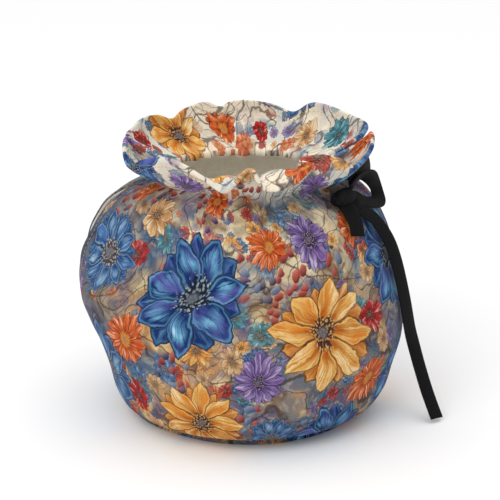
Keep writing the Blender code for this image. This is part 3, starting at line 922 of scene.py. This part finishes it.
def tint_ramps(tree, tint):
    """The deep, light, blush and heart colours of a tint, which is a number from 0 to 1."""
    ramps = []
    for colours in zip(*TINTS):
        ramp = add(tree, RAMP, tint)
        steps = ramp.node.color_ramp
        steps.interpolation = "CONSTANT"
        while len(steps.elements) < len(colours):
            steps.elements.new(0.5)
        for index in range(len(colours)):
            steps.elements[index].position = index / len(colours)
        for index, colour in enumerate(colours):
            steps.elements[index].color = linear(colour)
        ramps.append(ramp)
    return ramps


def paint_strokes(tree, at):
    """Brush streaks, veins and pools of paint, each as an uneven value over the petals."""
    brush = add(tree, JOIN, add(tree, MATH, at.sector, STREAKS, operation="MULTIPLY"), at.out, at.seed)
    streak = add(tree, NOISE, brush, 1.0, 2.0, 0.5)
    fine = add(tree, JOIN, add(tree, MATH, at.sector, VEINS, operation="MULTIPLY"), at.out, at.seed)
    vein = add(tree, RANGE, add(tree, NOISE, fine, 1.0, 1.0, 0.5), 0.54, 0.62, 0.0, 1.0)
    spread = add(tree, VECTOR, at.flat, (POOLS, POOLS, POOLS), operation="MULTIPLY")
    return streak, vein, add(tree, NOISE, spread, 1.0, 3.0, 0.6)


def paint_petals(tree, at, tints):
    """The colour of the petals."""
    deep, light, blush, _ = tints
    streak, vein, pool = paint_strokes(tree, at)

    # the paint is deep at a petal's foot and sides; warm petals keep light sides
    edge = add(tree, RANGE, at.gap, 0.0, EDGE_BAND, 1.0, 0.0, **SOFT)
    foot = add(tree, RANGE, at.along, 0.15, 0.72, 1.05, 0.0, **SOFT)
    end = add(tree, RANGE, at.along, 0.60, 1.0, 0.0, 0.42, **SOFT)
    cool = add(tree, MATH, at.tint, COOL_TINTS, operation="LESS_THAN")
    edge_depth = add(tree, MATH, cool, 0.75, -0.12, operation="MULTIPLY_ADD")
    end_depth = add(tree, MATH, cool, 0.15, operation="ADD")
    shade = foot
    for value, depth in (
        (edge, edge_depth), (end, end_depth), (streak, STREAK_DEPTH), (pool, POOL_DEPTH),
        (at.signed, LEAN_DEPTH), (vein, VEIN_DEPTH),
    ):
        shade = add(tree, MATH, value, depth, shade, operation="MULTIPLY_ADD")
    gleam = add(tree, RANGE, shade, 0.80, 1.25, 0.55, 0.0)
    lightest = add(tree, MIX, gleam, light, WHITE_PAINT, data_type="RGBA")
    shade = add(tree, RANGE, shade, 0.98, 2.05, 0.0, 1.0)
    colour = add(tree, MIX, shade, lightest, deep, data_type="RGBA")

    # a blush on one half of each petal, and a pale rim
    warm = add(tree, MATH, at.signed, -0.22, pool, operation="MULTIPLY_ADD")
    warm = add(tree, RANGE, add(tree, MATH, warm, streak, operation="MULTIPLY"), 0.22, 0.42, 0.0, 0.75)
    colour = add(tree, MIX, warm, colour, blush, data_type="RGBA")
    rim = add(tree, RANGE, at.gap, INK_WIDTH, 2.2 * INK_WIDTH, 1.0, 0.0, **SOFT)
    pale = add(tree, MATH, add(tree, MATH, rim, streak, operation="MULTIPLY"), 0.85, operation="MULTIPLY")
    colour = add(tree, MIX, pale, colour, light, data_type="RGBA")

    # the lower ring lies in the shade of the upper one
    shadow = add(tree, RANGE, at.lower_gap, 0.0, 0.2, 0.8, 0.25)
    lower = add(tree, MATH, 1.0, at.upper, operation="SUBTRACT")
    shadow = add(tree, MATH, shadow, lower, operation="MULTIPLY")
    colour = add(tree, MIX, shadow, colour, deep, data_type="RGBA")

    # the ink line, fainter where the brush ran dry
    ink = add(tree, RANGE, at.gap, 0.2 * INK_WIDTH, INK_WIDTH, 1.0, 0.0, **SOFT)
    line = add(tree, MATH, ink, add(tree, RANGE, streak, 0.3, 0.6, 0.55, 0.95), operation="MULTIPLY")
    inked = add(tree, MIX, 0.75, deep, INK, data_type="RGBA")
    return add(tree, MIX, line, colour, inked, data_type="RGBA")


print("an ink line round a flower of 40 mm is", round(INK_WIDTH * 40, 2), "mm wide")

# %% [markdown]
# ## The flower's heart, and the whole flower
#
# The heart has dark filaments that fray outwards, then a disc of pale beads round a grey middle. The
# beads are the cells of a Voronoi texture. The group then ties petals, paint and heart together. It
# takes three inputs, the cloth's coordinates and the flower's place and form, and gives the colour
# and a mask that is 1 wherever the flower covers the cloth.

# %% Heart and flower group
SHORTEST_FILAMENT, FRAY = 0.02, 0.42  # in flower radii, and how much longer a filament may be
FILAMENTS, BEADS = 13.0, 19.0  # in each radian round the heart, and along a flower's radius
BEAD_TINT, CORE_TINT = linear("#d8bf8e"), linear("#8b8f96")


def paint_heart(tree, at, tints, colour):
    """The flower's colour with its heart painted over the petals."""
    light, heart = tints[1], tints[3]
    frayed = add(tree, JOIN, add(tree, MATH, at.angle, FILAMENTS, operation="MULTIPLY"), 0.0, at.seed)
    frayed = add(tree, NOISE, frayed, 1.0, 1.0, 0.5)
    reach = add(tree, MATH, frayed, FRAY, SHORTEST_FILAMENT, operation="MULTIPLY_ADD")
    inside = add(tree, MATH, reach, at.out, operation="SUBTRACT")
    disc = add(tree, RANGE, inside, -0.035, 0.02, 0.0, 0.95)
    dots = add(tree, VECTOR, at.flat, (BEADS, BEADS, 0.0), operation="MULTIPLY")
    dots = add(tree, VORONOI, dots, 1.0, voronoi_dimensions="2D")
    bead = add(tree, RANGE, dots, 0.22, 0.42, 1.0, 0.0)
    bead = add(tree, MATH, bead, add(tree, RANGE, at.out, 0.06, 0.20, 0.25, 0.9), operation="MULTIPLY")
    beads = add(tree, MIX, 0.5, light, BEAD_TINT, data_type="RGBA")
    hearted = add(tree, MIX, bead, heart, beads, data_type="RGBA")
    core = add(tree, RANGE, at.out, 0.06, 0.11, 0.55, 0.0)
    hearted = add(tree, MIX, core, hearted, CORE_TINT, data_type="RGBA")
    return add(tree, MIX, disc, colour, hearted, data_type="RGBA")


def bloom_group():
    """The node group that paints one flower."""
    tree = bpy.data.node_groups.new("painted flower", "ShaderNodeTree")
    for name in ("Cloth", "Place", "Form"):
        tree.interface.new_socket(name, in_out="INPUT", socket_type="NodeSocketVector")
    tree.interface.new_socket("Colour", in_out="OUTPUT", socket_type="NodeSocketColor")
    tree.interface.new_socket("Cover", in_out="OUTPUT", socket_type="NodeSocketFloat")
    at = flower_places(tree, tree.nodes.new("NodeGroupInput").outputs)
    find_petals(tree, at)
    tints = tint_ramps(tree, at.tint)
    colour = paint_heart(tree, at, tints, paint_petals(tree, at, tints))
    given_out = tree.nodes.new("NodeGroupOutput").inputs
    tree.links.new(colour, given_out["Colour"])
    tree.links.new(at.cover, given_out["Cover"])
    return tree


flower_group = bloom_group()
print("the flower group has", len(flower_group.nodes), "nodes")

# %% [markdown]
# ## The ground of the print
#
# The material lays the print down as a painter would, and begins with the ground: a wash of cream
# that turns peach, lilac and blue-grey in places. The patches of each colour are a noise texture of
# their own, cut off softly at two levels. The cloth's coordinates are in metres, so a noise of scale
# 20 has its patches about 50 mm apart. A list of patches is quicker to change than a painted picture,
# and it stays sharp however near the camera comes.

# %% Ground of the print
# noise scale, the shift that makes each noise another one, the levels where it starts and is full,
# colour, and how strong it gets
PATCHES = (
    (15.0, 3.0, 0.48, 0.60, "#c9a673", 0.85), (21.0, 8.0, 0.50, 0.62, "#d8a877", 0.75),
    (18.0, 14.0, 0.49, 0.59, "#6a6385", 0.80), (23.0, 21.0, 0.49, 0.59, "#51708a", 0.85),
    (33.0, 27.0, 0.51, 0.63, "#6b4524", 0.75), (44.0, 29.0, 0.56, 0.67, "#e0cfa2", 0.75),
    (150.0, 33.0, 0.50, 0.75, "#f0e6cf", 0.40), (95.0, 39.0, 0.56, 0.72, "#7d6a55", 0.45),
)
PATCH_DETAIL, PATCH_ROUGHNESS = 3.0, 0.6
# where the ground turns pale over the collar, partly a paler ground and partly painted light on the
# top-lit collar
COLLAR_START, COLLAR_FULL = 0.180, 0.190  # metres up the cloth, where the ground turns pale
# the grey is painted shade on the lower body
CREAM, LOW_SHADE_GREY = linear("#ddd0b2"), linear("#8b8886")
# the pale cream over the collar is partly painted light
SEAM_BLUE, LIT_COLLAR_CREAM = linear("#3d5672"), linear("#f2eddf")


def patches(tree, cloth, shift, noise, start, full, most):
    """Soft patches: 0 outside them, and up to the given most inside."""
    moved = add(tree, VECTOR, cloth, shift, operation="ADD")
    return add(tree, RANGE, add(tree, NOISE, moved, *noise), start, full, 0.0, most)


def ground_wash(tree, cloth):
    """The ground: a mottled cream, bluer towards the side seams, with painted shade greying it towards the
    hem.
    """
    across, up, _ = add(tree, SPLIT, cloth).node.outputs
    blur = add(tree, NOISE, cloth, 14.0, PATCH_DETAIL, PATCH_ROUGHNESS)
    down = add(tree, MATH, up, -1.0, operation="MULTIPLY")
    # painted shade: the ground turns grey towards the hem, where the lower body is darker in the light
    # from above
    low = add(tree, MATH, blur, 0.10, down, operation="MULTIPLY_ADD")
    low = add(tree, RANGE, low, -0.10, -0.02, 0.0, 1.0)
    ground = add(tree, MIX, low, CREAM, LOW_SHADE_GREY, data_type="RGBA")
    for scale, shift, start, full, colour, most in PATCHES:
        noise = (scale, PATCH_DETAIL, PATCH_ROUGHNESS)
        patch = patches(tree, cloth, (shift, shift, shift), noise, start, full, most)
        ground = add(tree, MIX, patch, ground, linear(colour), data_type="RGBA")
    off_middle = add(tree, MATH, across, PANEL_WIDTH / 2, operation="SUBTRACT")
    off_middle = add(tree, MATH, off_middle, operation="ABSOLUTE")
    side = add(tree, MATH, blur, 0.08, off_middle, operation="MULTIPLY_ADD")
    side = add(tree, RANGE, side, 0.10, 0.19, 0.0, 0.75)
    ground = add(tree, MIX, side, ground, SEAM_BLUE, data_type="RGBA")
    # partly painted light: the collar, which faces the light from above, is made paler
    lit_collar_part = add(tree, RANGE, up, COLLAR_START, COLLAR_FULL, 0.0, 0.65)
    return add(tree, MIX, lit_collar_part, ground, LIT_COLLAR_CREAM, data_type="RGBA")


print("the ground has", len(PATCHES), "layers of patches over its cream")

# %% [markdown]
# ## Ink stems and berries
#
# A stem is where a smooth noise crosses its middle value, which happens along thin bent lines. Rings
# round scattered points look like curled tendrils. Berries are the cells of a Voronoi texture, shown
# only in patches, each with one side lit.

# %% Stems and berries
STEMS = ((15.0, 41.0, 0.007), (27.0, 47.0, 0.010), (40.0, 53.0, 0.011))  # noise scale, shift, width
STEM_INK, RING_INK = linear("#4a3c3a"), linear("#544a55")
BERRY_REDS = ("#a81c26", "#7d1420")
BERRY_TINTS = ((0.34, "#28406e"), (0.5, "#b3222a"), (0.68, "#5b3f7c"), (0.84, "#5f8cb0"))
BERRY_SHADE, BERRY_LIGHT = linear("#1d1420"), linear("#f3c9b0")
BERRIES_PER_METRE = 135.0
BERRY_REACH = 2.4 * MM  # from the berry's middle to where it is fully lit or shaded
RING_SPOTS, RINGS = 24.0, 9.0  # scattered points in a metre, and rings in the space between two


def ink_stems(tree, cloth, ground):
    """The ground with thin bent lines and with rings round scattered points."""
    for scale, shift, width in STEMS:
        moved = add(tree, VECTOR, cloth, (shift, shift, shift), operation="ADD")
        bend = add(tree, NOISE, moved, scale, 1.0, 0.4)
        off = add(tree, MATH, add(tree, MATH, bend, 0.5, operation="SUBTRACT"), operation="ABSOLUTE")
        stem = add(tree, RANGE, off, 0.3 * width, width, 0.7, 0.0)
        ground = add(tree, MIX, stem, ground, STEM_INK, data_type="RGBA")
    rings = add(tree, VORONOI, cloth, RING_SPOTS, voronoi_dimensions="2D")
    rings = add(tree, MATH, add(tree, MATH, rings, RINGS, operation="MULTIPLY"), operation="FRACT")
    rings = add(tree, MATH, add(tree, MATH, rings, 0.5, operation="SUBTRACT"), operation="ABSOLUTE")
    where = patches(tree, cloth, (61.0, 2.0, 7.0), (13.0, 1.0, 0.5), 0.50, 0.54, 0.6)
    rings = add(tree, MATH, add(tree, RANGE, rings, 0.03, 0.08, 1.0, 0.0), where, operation="MULTIPLY")
    return add(tree, MIX, rings, ground, RING_INK, data_type="RGBA")


def berries(tree, cloth, ground):
    """The print so far with round berries in patches, in red, blue and purple."""
    cells = add(tree, VORONOI, cloth, BERRIES_PER_METRE, voronoi_dimensions="2D")
    random = add(tree, SPLIT, cells.node.outputs["Color"]).node.outputs
    ball = add(tree, RANGE, cells, 0.34, 0.42, 1.0, 0.0)
    offset = add(tree, VECTOR, cloth, cells.node.outputs["Position"], operation="SUBTRACT")
    lit = add(tree, VECTOR, offset, (-0.5, 0.85, 0.0), operation="DOT_PRODUCT")
    lit = add(tree, RANGE, lit, -BERRY_REACH, BERRY_REACH, 0.0, 1.0)
    colours = add(tree, RAMP, random[0])
    steps = colours.node.color_ramp
    steps.interpolation = "CONSTANT"
    for place, colour in BERRY_TINTS:
        steps.elements.new(place).color = linear(colour)
    for element, colour in zip((steps.elements[0], steps.elements[-1]), BERRY_REDS):
        element.color = linear(colour)
    dark = add(tree, MIX, 0.55, colours, BERRY_SHADE, data_type="RGBA")
    bright = add(tree, MIX, 0.30, colours, BERRY_LIGHT, data_type="RGBA")
    berry = add(tree, MIX, lit, dark, bright, data_type="RGBA")
    where = patches(tree, cloth, (71.0, 4.0, 9.0), (19.0, 2.0, 0.5), 0.57, 0.59, 0.95)
    shown = add(tree, MATH, ball, where, operation="MULTIPLY")
    return add(tree, MIX, shown, ground, berry, data_type="RGBA")


print("the berries lie about", round(1000 / BERRIES_PER_METRE, 1), "mm apart")

# %% [markdown]
# ## Small strewn flowers
#
# The two smallest sizes of flower are too many for a list, so a Voronoi texture strews them. It gives
# every cell a middle and a random colour, and the colour's three numbers become the flower's size,
# petals and tint.

# %% Strewn flowers
STREWN = ((84.0, 3.5, 6.5), (44.0, 6.5, 12.5))  # cells in a metre, smallest and largest radius in mm


def strewn(tree, cloth, per_metre, smallest, largest):
    """The place and form of the flower in each cell of a Voronoi texture."""
    cells = add(tree, VORONOI, cloth, per_metre, voronoi_dimensions="2D")
    cells.node.inputs["Randomness"].default_value = 0.8
    random = add(tree, SPLIT, cells.node.outputs["Color"]).node.outputs
    middle = add(tree, SPLIT, cells.node.outputs["Position"]).node.outputs
    radius = add(tree, RANGE, random[0], 0.0, 1.0, smallest * MM, largest * MM)
    place = add(tree, JOIN, middle[0], middle[1], radius)
    petals = add(tree, MATH, add(tree, RANGE, random[1], 0.0, 1.0, 4.6, 9.4), operation="ROUND")
    turn = add(tree, MATH, random[1], 17.0, operation="MULTIPLY")
    return place, add(tree, JOIN, turn, petals, random[2])


print("strewn flowers are", 2 * STREWN[0][1], "to", 2 * STREWN[-1][2], "mm across")

# %% [markdown]
# ## The printed cloth
#
# The cover is polyester, brushed to a soft matt face and printed with dyes that heat sets in the
# fibre. So its material is rough, with little shine and a trace of sheen. The layers are laid down in
# the order of a painting: ground, stems, small flowers, berries, then larger flowers. A slight wobble
# of the cloth's coordinates keeps each edge from looking drawn with a compass.

# %% Printed polyester
printed, tree, shader = material(
    "printed brushed polyester", 0.85, Specular_IOR_Level=0.2, Sheen_Weight=0.03
)
uv = add(tree, "ShaderNodeUVMap", uv_map="cloth")
WOBBLES = ((38.0, 13.0 * MM), (150.0, 3.0 * MM), (420.0, 1.0 * MM))  # noise scale and reach
cloth = uv
for scale, amount in WOBBLES:
    drift = add(tree, NOISE, uv, scale, 1.0, 0.5).node.outputs["Color"]
    drift = add(tree, VECTOR, drift, (0.5, 0.5, 0.5), operation="SUBTRACT")
    drift = add(tree, VECTOR, drift, amount, operation="SCALE")
    cloth = add(tree, VECTOR, cloth, drift, operation="ADD")
colour = ink_stems(tree, cloth, ground_wash(tree, cloth))

flowers = []
for number, sizes in enumerate(STREWN):
    place, form = strewn(tree, cloth, *sizes)
    shift = (9.0 + 6.0 * number, 2.0, 5.0)
    chosen = patches(tree, cloth, shift, (17.0, 1.0, 0.5), 0.49, 0.56, 0.85)
    flowers.append((place, form, chosen))
for layer in ("mid", "big"):
    place, form = (
        add(tree, "ShaderNodeAttribute", attribute_name=f"{layer}_{kind}").node.outputs["Vector"]
        for kind in ("place", "form")
    )
    flowers.append((place, form, None))
for number, (place, form, chosen) in enumerate(flowers):
    if number == len(STREWN):
        colour = berries(tree, cloth, colour)
    flower = tree.nodes.new("ShaderNodeGroup")
    flower.node_tree = flower_group
    for socket, value in zip(flower.inputs, (cloth, place, form)):
        tree.links.new(value, socket)
    cover = flower.outputs["Cover"]
    if chosen is not None:
        cover = add(tree, MATH, cover, chosen, operation="MULTIPLY")
    colour = add(tree, MIX, cover, colour, flower.outputs["Colour"], data_type="RGBA")

# pigment settles unevenly in the brushed face, which mottles every colour a little, and the collar is
# brightened by up to a tenth as painted light, for the collar that faces the light from above
grain = add(tree, RANGE, add(tree, NOISE, uv, 900.0, 2.0, 0.6), 0.3, 0.7, 0.88, 1.05)
collar_painted_light = add(tree, RANGE, add(tree, SPLIT, uv).node.outputs[1], 0.165, 0.190, 0.0, 0.10)
grain = add(tree, MATH, grain, collar_painted_light, operation="ADD")
colour = add(tree, VECTOR, colour, grain, operation="SCALE")
# heat sets the dyes deep into the fibre, which makes dark inks darker still and leaves the pale ones
DYE_DEPTH = 1.25  # a power of the colour, so that white stays white
colour = add(tree, "ShaderNodeGamma", colour, DYE_DEPTH)
tree.links.new(colour, shader.inputs["Base Color"])
# a plain weave has threads 0.15 mm apart; its bump is drawn at 0.8 mm, so that it shows at all
WEAVE = 0.8 * MM
weave = add(tree, NOISE, uv, 1 / WEAVE, 1.0, 0.5)
bump = add(tree, "ShaderNodeBump", 0.12, 0.3 * MM)
tree.links.new(weave, bump.node.inputs["Height"])
tree.links.new(bump, shader.inputs["Normal"])
print("the cloth's material has", len(tree.nodes), "nodes")

# %% [markdown]
# ## Reverse of the cloth, and the ribbon
#
# Inside the cover the cloth shows its unprinted reverse: a pale brushed face, slightly uneven. The
# ribbon is woven polyester with fine ribs across it and firmer edges, and it shines a little along its
# folds.

# %% Reverse and ribbon
# brushing lifts a soft nap, which scatters light and keeps the reverse pale and without shine
reverse, tree, shader = material("brushed polyester reverse", 0.95, Sheen_Weight=0.3)
uv = add(tree, "ShaderNodeUVMap", uv_map="cloth")
nap = add(tree, RANGE, add(tree, NOISE, uv, 300.0, 3.0, 0.6), 0.35, 0.65, 0.0, 1.0)
colour = add(tree, MIX, nap, linear("#e4dccb"), linear("#efe9dc"), data_type="RGBA")
tree.links.new(colour, shader.inputs["Base Color"])

# black dyed yarn gives back little light; grosgrain ribs lie 0.4 mm apart and are drawn 0.9 mm
# apart, so that they show
RIB_PITCH = 0.9 * MM
woven, tree, shader = material("woven polyester ribbon", 0.7, Specular_IOR_Level=0.12)
uv = add(tree, "ShaderNodeUVMap", uv_map="cloth")
along = add(tree, SPLIT, uv).node.outputs[1]
rib = add(tree, MATH, along, 2 * math.pi / RIB_PITCH, operation="MULTIPLY")
rib = add(tree, MATH, rib, operation="SINE")
# the ribs band the colour lighter and darker: painted shade of their tops and hollows, over an uneven tone
shade = add(tree, MATH, rib, 0.25, add(tree, NOISE, uv, 700.0, 2.0, 0.6), operation="MULTIPLY_ADD")
shade = add(tree, RANGE, shade, 0.2, 0.9, 0.0, 1.0)
colour = add(tree, MIX, shade, linear("#060607"), linear("#101013"), data_type="RGBA")
tree.links.new(colour, shader.inputs["Base Color"])
bump = add(tree, "ShaderNodeBump", 0.35, 0.2 * MM)
tree.links.new(rib, bump.node.inputs["Height"])
tree.links.new(bump, shader.inputs["Normal"])

for made in panels.values():
    made.piece.data.materials.append(printed)
    made.piece.data.materials.append(reverse)
ribbon_pieces = (long_tail.piece, short_tail.piece, bow.piece, upper_loop.piece, knot)
for piece in ribbon_pieces:
    piece.data.materials.append(woven)
print("materials on", len(ribbon_pieces) + len(panels), "pieces")

# %% [markdown]
# ## The studio
#
# The cover stands on a pale floor that runs past every edge of the picture, in soft light: a bright
# even surround, and one large lamp from the upper left that gives the folds their shade. Small lamps
# would give hard shadows, which cloth in a product picture seldom has.

# %% Floor and light
FLOOR_HALF = 8.0
FLOOR_CORNERS = ((-1, -1), (1, -1), (1, 1), (-1, 1))
SIDE_LIGHT, TOP_LIGHT = 0.22, 1.45  # the surround's strength at the horizon and overhead
KEY_WATTS, KEY_SIZE = 12.0, 1.2
KEY_PLACE, KEY_AIM = Vector((-0.8, -1.3, 1.3)), Vector((0.0, 0.0, 0.1))

mesh = bpy.data.meshes.new("studio floor")
corners = [(x * FLOOR_HALF, y * FLOOR_HALF, 0.0) for x, y in FLOOR_CORNERS]
mesh.from_pydata(corners, [], [(0, 1, 2, 3)])
floor = put("studio floor", mesh)
# a matt board has no shine at all, so only soft shadows show on it
matt, tree, shader = material("matt white backdrop", 1.0, Specular_IOR_Level=0.0)
shader.inputs["Base Color"].default_value = linear("#f6f6f6")
mesh.materials.append(matt)

world = bpy.data.worlds.new("overhead softbox")
bpy.context.scene.world = world
world.use_nodes = True
tree = world.node_tree
direction = add(tree, "ShaderNodeTexCoord").node.outputs["Generated"]
height = add(tree, SPLIT, direction).node.outputs[2]
glow = add(tree, RANGE, height, 0.0, 1.0, SIDE_LIGHT, TOP_LIGHT)
tree.links.new(glow, tree.nodes["Background"].inputs["Strength"])
tree.nodes["Background"].inputs["Color"].default_value = linear("#ffffff")
lamp = bpy.data.lights.new("large soft key", "AREA")
lamp.energy = KEY_WATTS
lamp.size = KEY_SIZE
key = put("large soft key", lamp)
key.location = KEY_PLACE
key.rotation_euler = (KEY_AIM - KEY_PLACE).to_track_quat("-Z", "Y").to_euler()
print("lamps and floor placed")

# %% [markdown]
# ## The pieces on the plain model
#
# Every piece rides on the plain model's root, and where a piece takes the place of one of its parts, that
# part is hidden.

# %% Pieces on the plain model
for piece in ribbon_pieces:
    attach(piece, "root")
for piece in [made.piece for made in panels.values()] + stitches:
    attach(piece, "root")
for piece, node in (
    (panels["front"].piece, "front_panel"), (panels["back"].piece, "back_panel"),
    (bow.piece, "ribbon_bow"), (knot, "ribbon_knot"),
    (long_tail.piece, "ribbon_tail_long"), (short_tail.piece, "ribbon_tail_short"),
):
    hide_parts(node)
